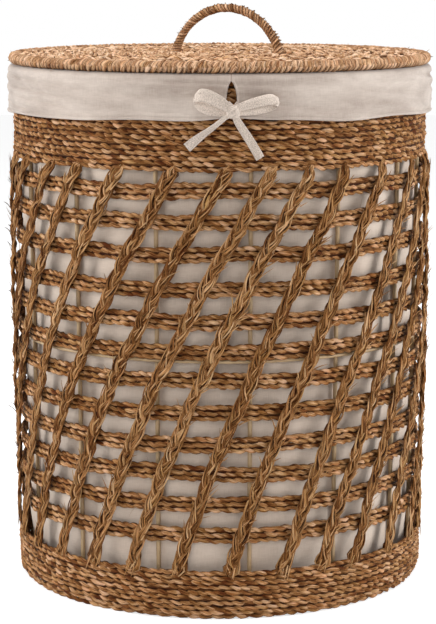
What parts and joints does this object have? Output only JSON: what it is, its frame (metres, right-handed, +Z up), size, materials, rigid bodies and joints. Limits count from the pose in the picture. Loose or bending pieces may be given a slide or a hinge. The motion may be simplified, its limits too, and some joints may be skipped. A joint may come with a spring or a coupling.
{
  "type": "laundry basket",
  "caption": "Tall round laundry basket woven from seagrass rope, with an open lattice wall, a cotton liner tied in a bow and a flat lid with an arch handle.",
  "frame": {"origin": "on the floor under the basket's axis, the centre of the base of its box", "axes": "+Z up along the basket's axis; -Y is the front, where the liner's bow is; +X is to the right of someone who faces the front"},
  "size_m": [0.4098, 0.4188, 0.5556],
  "materials": {
    "seagrass_rope": "matt two-ply twisted seagrass rope, brown to straw, with dark gaps",
    "seagrass_plait": "matt plaited seagrass strands, olive brown, with loose ends",
    "seagrass_lid": "matt coiled and wrapped seagrass, golden straw",
    "frame_wire": "satin tan paint on steel wire",
    "liner_cotton": "plain woven cotton, off-white, softly creased",
    "tie_tape": "fine woven cotton tape, off-white"
  },
  "bodies": {
    "basket": {"bottom_hoop": "frame_wire", "mid_hoop": "frame_wire", "top_hoop": "frame_wire", "upright_pair_1": "frame_wire", "upright_pair_2": "frame_wire", "upright_pair_3": "frame_wire", "upright_pair_4": "frame_wire", "upright_pair_5": "frame_wire", "upright_pair_6": "frame_wire", "upright_pair_7": "frame_wire", "foot_rope": "seagrass_rope", "base_disc": "seagrass_rope", "foot_band": "seagrass_rope", "top_band": "seagrass_rope", "rim_binding": "seagrass_rope", "lattice_row_01": "seagrass_rope", "lattice_row_02": "seagrass_rope", "lattice_row_03": "seagrass_rope", "lattice_row_04": "seagrass_rope", "lattice_row_05": "seagrass_rope", "lattice_row_06": "seagrass_rope", "lattice_row_07": "seagrass_rope", "lattice_row_08": "seagrass_rope", "lattice_row_09": "seagrass_rope", "lattice_row_10": "seagrass_rope", "lattice_row_11": "seagrass_rope", "lattice_row_12": "seagrass_rope", "plait_pair_01": "seagrass_plait", "plait_pair_02": "seagrass_plait", "plait_pair_03": "seagrass_plait", "plait_pair_04": "seagrass_plait", "plait_pair_05": "seagrass_plait", "plait_pair_06": "seagrass_plait", "plait_pair_07": "seagrass_plait", "plait_pair_08": "seagrass_plait", "plait_pair_09": "seagrass_plait", "plait_pair_10": "seagrass_plait", "plait_pair_11": "seagrass_plait", "plait_pair_12": "seagrass_plait", "plait_pair_13": "seagrass_plait", "plait_pair_14": "seagrass_plait"},
    "liner": {"liner_wall": "liner_cotton", "liner_floor": "liner_cotton", "liner_cuff": "liner_cotton", "tie_left": "tie_tape", "tie_right": "tie_tape", "tie_knot": "tie_tape"},
    "lid": {"lid_disc": "seagrass_lid", "lid_hoop": "frame_wire", "lid_rim_wrap": "seagrass_lid", "lid_wires": "frame_wire", "handle_core": "frame_wire", "handle_wrap": "seagrass_lid"}
  },
  "joints": [
    {"name": "liner_lift", "type": "slide", "parent": "basket", "child": "liner", "axis": [0, 0, 1], "range_m": [0, 0.52]},
    {"name": "lid_lift", "type": "slide", "parent": "liner", "child": "lid", "axis": [0, 0, 1], "range_m": [0, 0.3]}
  ]
}
